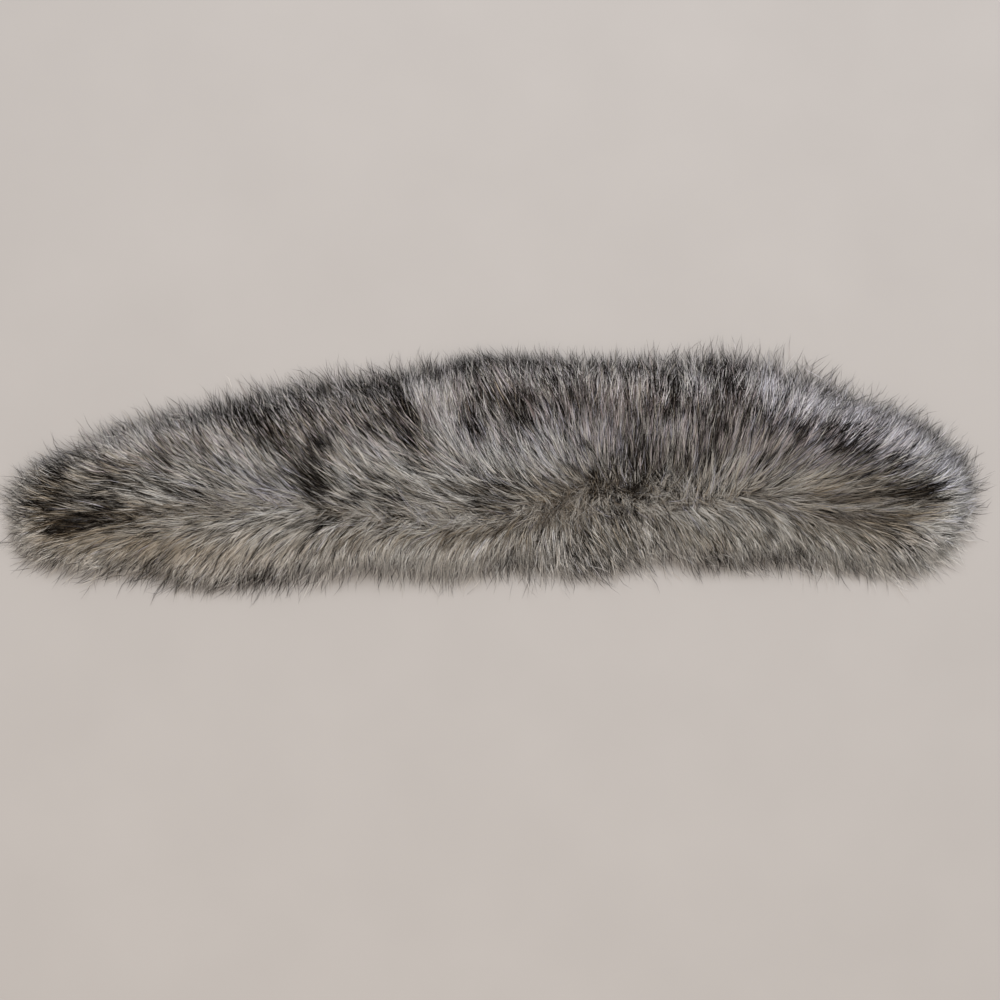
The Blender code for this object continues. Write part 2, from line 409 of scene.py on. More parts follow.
pile, tree, shader = new_material("modacrylic_pile_fibre", roughness=0.55, specular=0.11)
where = node(tree, "ShaderNodeUVMap", settings=[("uv_map", "OFBake")])
split = node(tree, "ShaderNodeSeparateXYZ", [("Vector", where.outputs["UV"])])
band = node(tree, MATHS, [(0, split.outputs["Y"])], [("operation", "MULTIPLY")], [(1, KINDS)])
kind = node(tree, MATHS, [(0, band.outputs[0])], [("operation", "FLOOR")])
tone = node(tree, MATHS, [(0, band.outputs[0])], [("operation", "FRACT")])

ramps = []
for greys in HUES:
    ramp = node(tree, "ShaderNodeValToRGB", [("Fac", tone.outputs[0])])
    stops = ramp.color_ramp.elements
    while len(stops) < len(greys):
        stops.new(0.5)
    for number, grey in enumerate(greys):
        stops[number].position = number / (len(greys) - 1)
        stops[number].color = linear(grey)
    ramps.append(ramp.outputs["Color"])
colour = ramps[TAN]
for hue in (NEUTRAL, COOL, MAUVE):
    from_here = node(tree, MATHS, [(0, kind.outputs[0])], [("operation", "GREATER_THAN")],
                     [(1, hue * ENDINGS - 0.5)])
    mixed = node(tree, "ShaderNodeMix",
                 [("Factor", from_here.outputs[0]), (MIX_A, colour), (MIX_B, ramps[hue])], MIX_COLOURS)
    colour = mixed.outputs[MIXED]

ending = node(tree, MATHS, [(0, kind.outputs[0])], [("operation", "MODULO")], [(1, ENDINGS)])
earlier = node(tree, MATHS, [(0, ending.outputs[0])], [("operation", "MULTIPLY")], [(1, DARK_EARLIER)])
dark_from = node(tree, MATHS, [(1, earlier.outputs[0])], [("operation", "SUBTRACT")], [(0, DARK_FROM)])
past_it = node(tree, MATHS, [(0, split.outputs["X"]), (1, dark_from.outputs[0])],
               [("operation", "SUBTRACT")])
toward_tip = node(tree, MATHS, [(0, past_it.outputs[0])], [("operation", "DIVIDE")], [(1, DARK_FADE)])
has_tip = node(tree, MATHS, [(0, ending.outputs[0])], [("operation", "GREATER_THAN")], [(1, 0.5)])
darkening = node(tree, MATHS, [(0, toward_tip.outputs[0]), (1, has_tip.outputs[0])],
                 [("operation", "MULTIPLY"), ("use_clamp", True)])
fibre = node(tree, "ShaderNodeMix", [("Factor", darkening.outputs[0]), (MIX_A, colour)], MIX_COLOURS,
             [(MIX_B, linear("#110b06"))])
tree.links.new(fibre.outputs[MIXED], shader.inputs["Base Color"])

# How the hair lies off its combing line, in degrees, counter-clockwise: for each row of COMBING, near the
# parting, half way out and near the edge, on the outer and on the inner side.
SIDE_COLUMNS = ("outer_near", "outer_half", "outer_far", "inner_near", "inner_half", "inner_far")
SWIRLS = (
    (10, 8, 0, 6, 4, 0),
    (14, 10, 8, 2, -2, -6),
    (20, 15, 12, -7, -12, -8),
    (25, 28, 18, -20, -14, -8),
    (15, 16, 12, -28, -6, -4),
    (10, 6, 4, -25, -4, -2),
    (12, 0, 4, -6, 8, 0),
    (18, 4, 6, -24, 26, 18),
    (24, 6, 4, -18, 14, 26),
    (12, -16, -18, -18, 18, 14),
    (2, -12, -4, -8, 26, 22),
    (-18, -6, 2, 0, 36, 32),
    (-6, -14, -10, 6, 4, 14),
    (-2, -4, 4, -4, -3, 8),
    (8, -2, 0, 5, -14, -6),
    (0, -1, -2, 10, -12, -8),
    (-8, -4, -8, 14, -2, -4),
    (-10, -3, 0, 12, 10, -2),
    (-10, -4, 6, 20, 8, 6),
    (0, 5, 8, 14, 12, 10),
    (5, 8, 8, 8, 8, 8),
)
swirls = by_column(SIDE_COLUMNS, SWIRLS)

# How much paler the hair is, in hundredths of its tone, at the same places: the hair's own tone, and far out
# partly painted light that offsets the shade at the rim.
SHADES = (
    (34, -50, 28, 34, -53, 28),
    (8, -24, 14, 12, -30, 12),
    (-12, -4, -6, 2, -27, -4),
    (-4, 6, 0, 2, -11, -12),
    (-4, 19, -6, 6, -5, -17),
    (5, -1, 6, 3, 3, 0),
    (13, -3, 11, 12, 7, 30),
    (5, -4, 15, 10, -10, 28),
    (-2, 4, 14, 22, -38, 30),
    (-7, 14, 13, -9, -16, 13),
    (-11, 27, -6, -14, -28, 18),
    (-6, 2, -5, -13, 2, 3),
    (8, -2, -19, -18, 12, -3),
    (6, -18, 8, -8, 9, 2),
    (12, -28, 3, -1, 7, 18),
    (5, -21, 25, -6, -13, 18),
    (11, -29, 42, 6, -38, 24),
    (-10, -24, 38, -3, -36, 34),
    (-18, -34, 50, 8, -42, 54),
    (0, -23, 30, 8, -33, 30),
    (34, -20, 6, 34, -20, 6),
)
shades = {name: column / 100 for name, column in by_column(SIDE_COLUMNS, SHADES).items()}

NEAR, NEAR_TO_HALF = 0.14, 0.36  # where the tables' places are, as shares of the way to the edge
HALF, HALF_TO_FAR = 0.5, 0.32


def fade(value, start, over):
    """0 up to start, 1 from start + over on, and straight between."""
    return np.clip((value - start) / over, 0, 1)


def on_the_way(columns, line, share):
    """What the columns say for each combing line near the parting, half way and far out, read between."""
    near, half, far = (at_line(round_the_wrap(columns, what), line) for what in ("near", "half", "far"))
    value = near + (half - near) * fade(share, NEAR, NEAR_TO_HALF)
    return value + (far - half) * fade(share, HALF, HALF_TO_FAR)


def hair_angle(line, share):
    """The angle that the hair lies at, from +X: its combing line's, turned as SWIRLS says."""
    _, way = combed(line, share)
    return np.arctan2(way[..., 1], way[..., 0]) + np.radians(on_the_way(swirls, line, share))


# Dark and pale patches in the pile, in millimetres: x, y, how far along and across the hair, and how much
# darker (below zero, paler) and tanner (below zero, cooler) the hair is there.
PATCHES = (
    (-380, -36, 14, 40, -0.35, 0.7),
    (-367, -52, 10, 14, -0.5, 0.4),
    (-358, -28, 10, 9, 1.35, 0),
    (-341, 14, 14, 13, 1.65, 0),
    (-346, -12, 13, 12, 1.4, 0),
    (-336, -42, 12, 8, 0.95, 0),
    (-334, 1, 8, 10, -0.9, 0),
    (-317, -36, 12, 8, 0.75, 0),
    (-308, -17, 12, 12, 0.95, 0),
    (-301, 5, 12, 14, 0.75, 0),
    (-288, 29, 8, 28, -0.65, 0),
    (-296, -36, 26, 11, 0.4, 0.3),
    (-272, -90, 13, 20, 1.1, 0),
    (-250, -12, 18, 10, 0.45, 0),
    (-246, 12, 14, 11, -0.4, 0),
    (-204, 14, 28, 18, -0.65, 0),
    (-209, 46, 19, 13, 1.35, 0),
    (-184, -86, 9, 15, 1.15, 0),
    (-182, 38, 14, 9, 1.5, 0),
    (-176, -28, 28, 14, -0.6, 0),
    (-162, 46, 14, 22, 0.6, 0),
    (-162, 31, 10, 9, -0.8, 0),
    (-130, -65, 8, 14, -0.3, 0),
    (-146, -7, 13, 10, 1.4, 0),
    (-147, 16, 24, 13, 0.45, 0),
    (-133, -34, 11, 12, 0.75, 0),
    (-122, -10, 10, 18, -0.5, 0),
    (-122, 8, 14, 10, -0.6, 0),
    (-110, 72, 13, 9, 0.85, 0),
    (-104, 38, 12, 8, 1.1, 0),
    (-84, -44, 9, 18, 0.75, 0),
    (-66, -64, 16, 54, -0.85, 0),
    (-88, 10, 22, 13, -1.1, 0),
    (-78, 49, 20, 11, 1.6, 0),
    (-67, 25, 14, 9, 0.9, 0.8),
    (-47, 53, 13, 8, -0.6, 0),
    (-45, 22, 34, 26, -0.25, 0),
    (-38, 0, 12, 16, -0.35, 0),
    (-20, -44, 16, 12, -0.5, 0),
    (-60, 9, 12, 7, 0.25, 0),
    (-23, 39, 17, 8, 0.8, -0.6),
    (22, 74, 12, 9, 0.3, 0),
    (-18, 75, 19, 9, 0.7, 0),
    (-12, 7, 13, 11, -1.1, 0),
    (-6, -17, 18, 14, 0.6, 0),
    (12, 48, 20, 10, 1.05, 0),
    (42, -52, 14, 20, 0.2, 0),
    (26, 16, 24, 12, -0.45, 0),
    (40, 70, 10, 8, 0.8, 0),
    (-64, 74, 12, 7, -0.6, 0),
    (56, -34, 12, 14, -0.3, 0),
    (58, 72, 21, 8, 0.55, 0),
    (63, 12, 10, 8, 0.35, 0),
    (68, -66, 13, 14, 0.7, 0),
    (118, -66, 12, 18, -0.45, 0),
    (75, -10, 13, 16, 0.5, 0),
    (98, -3, 20, 9, 0.3, 0),
    (114, 10, 24, 18, 0.55, 0),
    (96, -20, 10, 12, 0.3, 0),
    (136, 33, 10, 18, -0.3, 0),
    (133, 64, 18, 13, 1.3, 0),
    (108, 48, 18, 13, 0.3, 0),
    (158, -50, 14, 28, -0.35, 0),
    (156, 76, 8, 12, -0.5, 0),
    (165, 40, 42, 26, 0.5, 0),
    (166, 88, 14, 12, 1.1, 0),
    (168, -63, 15, 10, 0.35, 0.9),
    (184, 75, 19, 8, 1.2, 0),
    (249, 5, 16, 12, -0.35, 0),
    (206, 48, 12, 13, 0.8, 0),
    (202, -2, 13, 12, 0.4, 0),
    (186, 10, 14, 11, -0.45, 0),
    (212, -69, 9, 30, 0.8, 0),
    (211, 73, 18, 13, -0.9, -0.5),
    (175, 48, 8, 8, -0.3, 0),
    (238, 42, 14, 10, 1.1, 0),
    (222, -48, 20, 20, -0.5, 0),
    (246, 52, 16, 14, -0.85, -0.3),
    (265, 30, 15, 14, 1.6, 0),
    (282, 25, 16, 9, 1.25, 0),
    (258, -62, 18, 16, -0.4, 0),
    (283, 48, 17, 14, -0.7, -0.7),
    (292, -79, 10, 10, -0.45, 0),
    (313, -54, 20, 12, 0.75, 0.7),
    (310, 6, 14, 5, 0.8, 0),
    (320, 33, 12, 14, -0.4, -0.6),
    (326, -73, 15, 12, -0.6, -0.5),
    (320, -16, 26, 5, 0.85, 0),
    (340, -22, 18, 5, 0.9, 0),
    (353, -38, 20, 18, -1.2, 0),
    (360, -8, 14, 34, -0.85, -0.5),
    (342, -11, 9, 7, 0.6, 0),
)

# Places in the pile, in millimetres: x, y, half the length along X, half the width along Y, and how much.
CALM_HERE = (  # where the hair's own greys differ less, by how much of themselves
    (-318, 12, 45, 22, 0.7),
    (-340, -22, 50, 34, 0.5),
    (-308, -62, 55, 16, 0.75),
    (-235, -58, 55, 18, 0.65),
    (-165, -62, 30, 16, 0.55),
    (-35, -62, 45, 14, 0.6),
    (58, -58, 35, 16, 0.6),
    (110, 26, 80, 26, 0.65),
    (215, 5, 50, 22, 0.55),
    (250, -22, 60, 16, 0.6),
    (305, -40, 60, 26, 0.8),
    (335, -62, 45, 22, 0.75),
)
TINT_HERE = (  # where the hair is tanner, or below zero cooler
    (-385, -30, 40, 60, 0.45),
    (-220, -82, 90, 14, 0.5),
    (-185, -10, 50, 22, -0.6),
    (-150, 50, 60, 30, 0.6),
    (-95, 18, 50, 20, 0.3),
    (70, 42, 70, 32, -0.5),
    (150, -68, 60, 14, 0.25),
    (255, 12, 60, 22, 0.2),
    (310, -60, 36, 16, 0.6),
    (335, -25, 40, 30, 0.1),
)
MESS_HERE = (  # where hair that stands on end lies every way, by how many degrees
    (103, -18, 48, 15, 55),
    (46, -32, 25, 8, 40),
    (-60, -36, 60, 7, 25),
)


def humps(table, point):
    """The sum over the table's rows of how much, times exp(-((x - row x) / length)^2 - ((y - row y) /
    width)^2)."""
    x, y = point[:, 0] / MM, point[:, 1] / MM
    total = np.zeros(len(x))
    for row_x, row_y, half_length, half_width, amount in table:
        total += amount * np.exp(-(((x - row_x) / half_length) ** 2) - ((y - row_y) / half_width) ** 2)
    return total


def patches_at(point, angle):
    """How much darker and tanner the hair is at each point: the sums over the patches of dark and of tan
    times exp(-(a/along)^2 - (c/across)^2), where a and c are the way from the patch's middle along and
    across the hair."""
    darker, tanner = np.zeros(len(point)), np.zeros(len(point))
    for x, y, along, across, dark, tan in PATCHES:
        away = point - np.array([x, y]) * MM
        a = (away[:, 0] * np.cos(angle) + away[:, 1] * np.sin(angle)) / (along * MM)
        c = (away[:, 0] * np.sin(angle) - away[:, 1] * np.cos(angle)) / (across * MM)
        share = np.exp(-(a**2) - c**2)
        darker += dark * share
        tanner += tan * share
    return darker, tanner


AREA_STEPS = 40  # cells from the parting to the edge when the wrap's area is measured
LAST_CELL = 0.98  # cells further out than this share are taken as wide as here
SLIVER = 0.01  # a cell's width is measured over this share of the way out
FOLD_RANGE = 0.3  # hair rooted so near the cut edge that it would end this far past the tips...
RIM_BAND = 3  # ...ends in a band this wide instead, in millimetres...
RIM_SPREAD = 0.45  # ...and wider by this share of the stretch in which the hair thins out


def scatter(number, near, chance):
    """Places for hair tips, spread evenly over the wrap's area, as combing line and share. Equal steps
    through the summed area of a grid's cells are jittered within their cell."""
    far = 1 + FOLD_RANGE
    line, step = np.meshgrid(np.arange(LINE_COUNT), np.arange(AREA_STEPS), indexing="ij")
    share = np.minimum(near + (far - near) * (step + 0.5) / AREA_STEPS, LAST_CELL)
    d_line = combed(line + 1, share)[0] - combed(line, share)[0]
    d_share = combed(line, share + SLIVER)[0] - combed(line, share)[0]
    area = np.abs(d_line[..., 0] * d_share[..., 1] - d_line[..., 1] * d_share[..., 0]).ravel()
    summed = np.cumsum(area) / area.sum()
    place = (np.arange(number) + chance.uniform(0, 1, number)) / number
    cell = np.minimum(np.searchsorted(summed, place), len(summed) - 1)
    low = np.concatenate([[0], summed[:-1]])[cell]
    within = (place - low) / (summed[cell] - low)
    line = cell // AREA_STEPS + chance.uniform(0, 1, number)
    share = near + (far - near) * (cell % AREA_STEPS + within) / AREA_STEPS
    thin, length = at_line(line_thin, line), at_line(line_lengths, line) / MM
    edge = 1 - thin / length
    inward = np.abs(chance.normal(0, 1, number)) * (RIM_BAND + RIM_SPREAD * thin) - RIM_BAND
    return line, np.where(share > edge, edge - inward / length, share)


SPINDLE_SIDES = 3
SIDE_TILT = 0.3  # a spindle's sides are squared to a level direction, tilted up by this slope
ROW_HEIGHT = 0.004  # of the colour map, for one hair


def hair_mesh(name, paths, radius, row, turn):
    """Hairs as closed three-sided spindles. paths is (hairs, points, 3) from root to tip, radius is (hairs,
    points - 2) for the points between, row the place of each hair's colour up the map, and turn how far
    each spindle is turned round its hair."""
    hairs, points, _ = paths.shape
    way = np.gradient(paths, axis=1)
    way /= np.linalg.norm(way, axis=2, keepdims=True)
    side = np.cross(way, np.stack([np.cos(turn), np.sin(turn), np.full(hairs, SIDE_TILT)], -1)[:, None])
    side /= np.linalg.norm(side, axis=2, keepdims=True)
    other = np.cross(way, side)
    around = np.arange(SPINDLE_SIDES) * 2 * np.pi / SPINDLE_SIDES
    out = np.cos(around)[:, None] * side[:, 1:-1, None] + np.sin(around)[:, None] * other[:, 1:-1, None]
    ring = paths[:, 1:-1, None] + out * radius[:, :, None, None]
    vertices = np.concatenate([paths[:, :1], ring.reshape(hairs, -1, 3), paths[:, -1:]], axis=1)

    root = np.arange(hairs)[:, None] * vertices.shape[1]
    a = np.arange(SPINDLE_SIDES)
    b = (a + 1) % SPINDLE_SIDES
    low = root[..., None] + 1 + SPINDLE_SIDES * np.arange(points - 3)[:, None]
    high = low + SPINDLE_SIDES
    last = root + 1 + SPINDLE_SIDES * (points - 3)
    sides = np.stack([low + a, low + b, high + b, high + a], -1)
    root_faces = np.stack(np.broadcast_arrays(root, root + 1 + b, root + 1 + a), -1)
    tip_faces = np.stack(np.broadcast_arrays(last + a, last + b, last + SPINDLE_SIDES), -1)

    def corners(*pairs):
        return np.stack([np.stack(np.broadcast_arrays(*pair), -1) for pair in pairs], -2)

    u = np.arange(points) / (points - 1)
    from_v = row[:, None] + ROW_HEIGHT * a / SPINDLE_SIDES
    to_v = from_v + ROW_HEIGHT / SPINDLE_SIDES
    middle = (from_v + to_v) / 2
    u_in, u_out, v_in, v_out = u[1:-2, None], u[2:-1, None], from_v[:, None], to_v[:, None]
    side_uv = corners((u_in, v_in), (u_in, v_out), (u_out, v_out), (u_out, v_in))
    root_uv = corners((u[0], middle), (u[1], to_v), (u[1], from_v))
    tip_uv = corners((u[-2], from_v), (u[-2], to_v), (u[-1], middle))
    faces = [sides.reshape(-1, 4), root_faces.reshape(-1, 3), tip_faces.reshape(-1, 3)]
    return mesh_of(name, vertices.reshape(-1, 3), faces, [side_uv, root_uv, tip_uv])


# Clumps: neighbouring locks lean, bend, lift and shade alike. They are cells of the combing's own grid, with
# each column shifted along the hair.
CLUMP_LINES = 2
CLUMP_LENGTH = 15 * MM
CLUMPS_ACROSS = LINE_COUNT // CLUMP_LINES
CLUMPS_LONG = 16
CLUMP_SEED = 8
clump_chance = np.random.default_rng(CLUMP_SEED)
clump_values = clump_chance.normal(0, 1, (4, CLUMPS_ACROSS, CLUMPS_LONG))
clump_stagger = clump_chance.uniform(0, 1, CLUMPS_ACROSS)


def clump_at(line, out):
    """The lean, bend, lift and shade of the clump that each place is in."""
    column = np.floor(line / CLUMP_LINES).astype(int) % CLUMPS_ACROSS
    row = np.floor(out / CLUMP_LENGTH + clump_stagger[column]).astype(int) % CLUMPS_LONG
    return clump_values[:, column, row]


# The layers, from the lowest up: a name, how many locks and how many hairs in each, the share of the way out
# where the first tips lie, a hair's length and thickness and its points, how far hairs lie off their lock's
# middle, how far tips are lifted, how far single hairs stray, in radians, how far past the dense edge hair at
# the rim ends, whether they are wisps, the share of locks with dark tips, and the seed of the draws.
Layer = namedtuple("Layer", (
    "name", "locks", "per_lock", "starts", "hair_mm", "width_mm", "points", "lock_mm", "lift_mm", "stray",
    "rim_mm", "wispy", "tipped", "seed",
))
LAYERS = (
    Layer("pile_hair_a", 2650, 6, 0.0, 36, 0.63, 4, 1.1, 2.5, 0.03, -2, 0, 0.6, 21),
    Layer("pile_hair_b", 2650, 6, 0.0, 36, 0.59, 4, 1.1, 2.5, 0.03, -2, 0, 0.6, 22),
    Layer("pile_hair_c", 3180, 5, 0.0, 36, 0.54, 4, 1.0, 3.0, 0.03, -1, 0, 0.65, 23),
    Layer("pile_hair_d", 3180, 5, 0.0, 36, 0.5, 4, 0.9, 3.5, 0.05, 0, 0, 0.7, 24),
    Layer("guard_hair", 1700, 3, 0.1, 40, 0.46, 5, 1.6, 5.0, 0.12, 3, 0, 0.9, 25),
    Layer("rim_wisps", 4800, 2, 0.97, 28, 0.42, 4, 1.2, 4.0, 0.24, 0, 1, 0.95, 26),
)


class Draws:
    """The random draws for a layer of hair: even or normal values, one for each lock or for each hair."""

    def __init__(self, layer):
        self.chance = np.random.default_rng(layer.seed)
        self.locks = layer.locks
        self.lock_of = np.repeat(np.arange(layer.locks), layer.per_lock)
        self.hairs = len(self.lock_of)

    def for_lock(self, spread):
        """Normal values, the same for all the hairs of a lock."""
        return (self.chance.normal(0, 1, self.locks) * spread)[self.lock_of]

    def for_hair(self, spread):
        """Normal values, each hair its own."""
        return self.chance.normal(0, 1, self.hairs) * spread

    def even_for_lock(self):
        """Values between 0 and 1, the same for all the hairs of a lock."""
        return self.chance.uniform(0, 1, self.locks)[self.lock_of]

    def even_for_hair(self, least=0.0, most=1.0):
        """Values between least and most, each hair its own."""
        return self.chance.uniform(least, most, self.hairs)


RIM_FROM, RIM_OVER = 0.75, 0.15  # of the way out, where the rim's hair begins
LOCK_UNEVEN, RIM_UNEVEN = 1.5, 2.6  # how unevenly locks end, and hairs at the rim, in millimetres
STRAGGLE, STRAGGLE_MEAN = 0.35, 0.7  # the rim's hairs straggle out over this much of the thinning stretch
WISP_LEAST, WISP_MOST = 0.1, 0.9  # wisps end between these shares of the thinning stretch...
WISP_STRETCH, WISP_PAST = 24, 5  # ...taken as this many millimetres at most, and this many more
WISP_REACH = 20 * MM  # the longest wisps end this far past the outline
HAIR_VARY, LOCK_VARY = 0.12, 0.08  # how unequal lengths are
SHORTEST_WAY = 24 * MM  # a hair's way out from the parting is taken as this at least...
CROSSING = 1.1  # ...and no hair is longer than this times its way out


def end_hairs(layer, draws):
    """Where each hair of a layer ends and how long it is. Tips lie around their lock's, spread by normal
    draws, and what passes the outline is pressed together by tanh to the longest wisps' reach."""
    line, lock_share = (v[draws.lock_of] for v in scatter(layer.locks, layer.starts, draws.chance))
    length, thin = at_line(line_lengths, line), at_line(line_thin, line)
    at_rim = fade(lock_share, RIM_FROM, RIM_OVER)
    past = draws.for_hair(layer.lock_mm + RIM_UNEVEN * at_rim) + draws.for_lock(LOCK_UNEVEN)
    past += layer.rim_mm * at_rim
    past += STRAGGLE * thin * at_rim * (draws.chance.exponential(1, draws.hairs) - STRAGGLE_MEAN)
    wisp = layer.wispy * draws.even_for_hair(WISP_LEAST, WISP_MOST)
    past += wisp * (np.minimum(thin, WISP_STRETCH) + WISP_PAST)
    tip_share = lock_share + past * MM / length
    longest = WISP_REACH / length
    tip_share = np.minimum(tip_share, 1) + longest * np.tanh(np.maximum(tip_share - 1, 0) / longest)
    out = np.clip(tip_share, 0, None) * length
    vary = 1 + draws.for_hair(HAIR_VARY) + draws.for_lock(LOCK_VARY)
    hair_length = np.minimum(layer.hair_mm * MM * vary, np.maximum(out, SHORTEST_WAY) * CROSSING)
    along = np.linspace(0, 1, layer.points)  # from the hair's root to its tip
    lean, bend, lift, shade = clump_at(line, lock_share * length)
    return SimpleNamespace(
        line=line, lock_share=lock_share, length=length, thin=thin, at_rim=at_rim, tip_share=tip_share,
        out=out, hair_length=hair_length, along=along,
        clump_lean=lean, clump_bend=bend, clump_lift=lift, clump_shade=shade,
        share=tip_share[:, None] - (hair_length / length)[:, None] * (1 - along),
        lines=np.broadcast_to(line[:, None], (draws.hairs, layer.points)),
    )


ANCHOR = 0.6  # of the way along it, a hair crosses its combing line
CALMEST = 0.75  # the most that CALM_HERE takes from how the hair differs
PARTING_TANGLE, PARTING_REACH = 0.35, 16 * MM  # hair near the parting is tangled, in radians
LEAN_CLUMP, LEAN_LOCK, LEAN_HAIR = 0.09, 0.09, 0.05  # how far hair leans off the combed way, in radians
TANGLE_LOCK, TANGLE_HAIR = 0.8, 0.5  # and more where it is tangled
BEND_CLUMP, BEND_LOCK, BEND_HAIR = 0.08, 0.14, 0.11  # how far it bends each way of its middle, in radians
BEND_MESS = 0.6  # and more where it is messy
FIRST_SHARE = 0.02  # nearer to the parting than this, hair lies as it does here
CLOSING, CLOSING_VARY = 0.85, 0.15  # how far a lock's hairs close up towards their tips
LEAST_CLOSED, MOST_CLOSED = 0.5, 1.15
RIM_OPEN = 0.4  # locks at the rim close up this much less
LOCK_WIDTH, CLOSING_CURVE = 1.2, 1.2  # a lock's width at its root, and how late it closes


def comb(layer, draws, hair):
    """Where each hair lies, seen from above. It steps along the angle combed way + lean + bend, from root to
    tip, through its anchor on the combing line, and stands off sideways by its place in the lock, times
    (width - closing * along^1.2)."""
    along = hair.along
    anchor, _ = combed(hair.line, hair.tip_share - (hair.hair_length / hair.length) * (1 - ANCHOR))
    mess = np.radians(humps(MESS_HERE, anchor))
    calm = 1 - np.minimum(humps(CALM_HERE, anchor), CALMEST)
    tangle = mess + PARTING_TANGLE * hump(hair.out, 0, PARTING_REACH)
    lean = hair.clump_lean * LEAN_CLUMP + draws.for_lock(1) * (tangle * TANGLE_LOCK + LEAN_LOCK * calm)
    lean += draws.for_hair(1) * (tangle * TANGLE_HAIR + LEAN_HAIR * calm + layer.stray)
    bend = hair.clump_bend * BEND_CLUMP + draws.for_lock(1) * (BEND_LOCK + BEND_MESS * mess)
    bend = (bend + draws.for_hair(BEND_HAIR + layer.stray))[:, None] * (along - 0.5) * 2
    angle = hair_angle(hair.lines, np.clip(hair.share, FIRST_SHARE, 1.0)) + lean[:, None] + bend

    steps = hair.hair_length[:, None] / (layer.points - 1)
    mid_angle = (angle[:, 1:] + angle[:, :-1]) / 2
    run = np.stack([np.cos(mid_angle) * steps, np.sin(mid_angle) * steps], -1)
    path = np.concatenate([np.zeros((draws.hairs, 1, 2)), np.cumsum(run, axis=1)], axis=1)
    at = ANCHOR * (layer.points - 1)
    low = int(at)
    path = path - (path[:, low] * (1 - at + low) + path[:, low + 1] * (at - low))[:, None] + anchor[:, None]

    closing = np.clip(CLOSING + draws.for_lock(CLOSING_VARY)[:, None], LEAST_CLOSED, MOST_CLOSED)
    closing *= 1 - RIM_OPEN * hair.at_rim[:, None]
    spread = draws.for_hair(layer.lock_mm)[:, None] * (LOCK_WIDTH - closing * along**CLOSING_CURVE)
    hair.flat = path + np.stack([-np.sin(angle), np.cos(angle)], -1) * (spread * MM)[..., None]
    hair.angle, hair.calm = angle, calm


RIM_HANG = 5  # the pile comes down to the surface this many millimetres past its dense edge
ROOT_DEPTH = 0.9  # a hair starts this share of the way up the undercoat
STEEP_LOCKS, STEEP_RISE, EASY_RISE = 0.3, 2.6, 1.1  # this share of the locks rises steeply out of it
LIFT_CLUMP, LIFT_LOCK, LIFT_HAIR, LIFT_CURVE = 0.35, 0.35, 0.4, 1.5  # how unevenly tips are lifted
LOCK_UP, HAIR_UP = 0.5, 0.6  # how unevenly whole locks and hairs lie, in millimetres
THIN_PILE, LEAST_UP = 8 * MM, 0.2  # less where the pile is thinner than this, but not under this share
FLOOR_LIFT, WISP_FLOOR_LIFT, FLOOR_START = 1.4, 2, 0.4  # how unevenly hair lies off the board
CLOTH_STEP = 4 * MM  # hair leaves the cloth's top where the pile is thinner than this
HIGHEST = 42 * MM


def stand(layer, draws, hair):
    """How high each point of the hairs lies: over the cloth by the pile's height there, times a rise out of
    the undercoat, 1 - (1 - start)(1 - along)^rise, with the tips lifted; never into the board."""
    along = hair.along
    dense = 1 - (hair.thin - RIM_HANG) * MM / hair.length
    height = pile_height(hair.lines, hair.share * (1 + (1 / dense - 1)[:, None] * hair.share**2))
    rise = np.where(draws.even_for_lock() < STEEP_LOCKS, STEEP_RISE, EASY_RISE)
    risen = 1 - (1 - UNDERCOAT_DEPTH * ROOT_DEPTH) * (1 - along) ** rise[:, None]
    lift = hair.clump_lift * LIFT_CLUMP + draws.for_lock(LIFT_LOCK) + draws.for_hair(LIFT_HAIR)
    lift = lift[:, None] * layer.lift_mm * along**LIFT_CURVE
    uneven = lift + (draws.for_lock(LOCK_UP) + draws.for_hair(HAIR_UP))[:, None]
    above = height * risen + uneven * MM * np.clip(height / THIN_PILE, LEAST_UP, 1)
    off_board = np.abs(draws.for_hair(FLOOR_LIFT + WISP_FLOOR_LIFT * layer.wispy))[:, None] * MM
    off_board = CLEARANCE + off_board * (FLOOR_START + along)
    return np.clip(CLOTH_WALL * np.minimum(height / CLOTH_STEP, 1) + above, off_board, HIGHEST)


TAPER, WISP_TAPER_LESS = 0.42, 0.2  # how much thinner a hair is before its tip, and a wisp less so
TAPER_FROM, TAPER_OVER = 0.3, 0.36
WIDTH_VARY = 0.15
RIM_FINER = 0.15  # hair at the rim is this much thinner


def thickness(layer, draws, hair):
    """Each hair's radius at its points between root and tip, which taper to nothing."""
    taper = TAPER - WISP_TAPER_LESS * layer.wispy
    taper = taper * np.maximum(hair.along[1:-1] - TAPER_FROM, 0) / TAPER_OVER
    radius = layer.width_mm * MM / 2 * (1 + draws.for_hair(WIDTH_VARY)) * (1 - RIM_FINER * hair.at_rim)
    return radius[:, None] * (1 - taper)


LOW_SIDE_Y, LOW_SIDE_OVER, LOW_SIDE_LEAST = 45, 30, -0.3  # the inner side begins this far below the origin
RIGHT_X, RIGHT_OVER = 150, 100  # the right part of the wrap
RIGHT_END_X, RIGHT_END_OVER = 310, 60

DARK_IN_PATCH, DARK_ANYWHERE, DARK_MOST = 0.8, 0.05, 0.77  # the share of locks that are dark
TIPS_FROM, TIPS_OVER, TIPS_LEAST = 8, 45, 0.12  # dark tips are commoner away from the parting
TIPS_FEWER = 0.6  # fewer on the inner side, at the right end and in a band inside the rim
WISPS_KEEP = 0.4  # wisps lose this much less on the inner side, and none elsewhere
TIPS_BAND, TIPS_BAND_WIDTH = 3, 8  # the band's middle and half width, in millimetres inside the dense edge; fewer dark tips there are painted light against the rim's shade
TIPS_IN_DARK, TIPS_IN_PALE, TIPS_CLUMP = 0.35, 0.7, 0.12  # more in dark patches and clumps, fewer in pale


